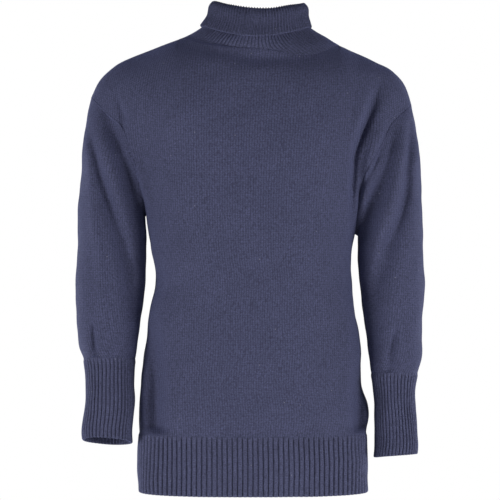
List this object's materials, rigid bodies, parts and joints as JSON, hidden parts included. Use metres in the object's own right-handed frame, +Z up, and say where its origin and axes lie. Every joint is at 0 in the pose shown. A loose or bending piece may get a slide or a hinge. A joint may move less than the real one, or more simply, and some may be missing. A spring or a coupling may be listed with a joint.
{
  "type": "turtleneck sweater",
  "caption": "Long-sleeved knitted sweater with a rolled-over ribbed neck, ribbed hem and long ribbed cuffs, hollow and filled out as if worn.",
  "frame": {"origin": "base of the neck, midway between the shoulders", "axes": "+Z up, the front faces -Y, the wearer's left sleeve at +X"},
  "size_m": [0.5211, 0.2252, 0.7325],
  "materials": {
    "knit": "matt wool, stocking stitch",
    "rib": "matt wool, 1x1 rib"
  },
  "bodies": {
    "root": {"front": "knit", "back": "knit", "hem_rib_front": "rib", "hem_rib_back": "rib", "sleeve_right": "knit", "sleeve_left": "knit", "cuff_right": "rib", "cuff_left": "rib", "collar": "rib"}
  },
  "joints": []
}
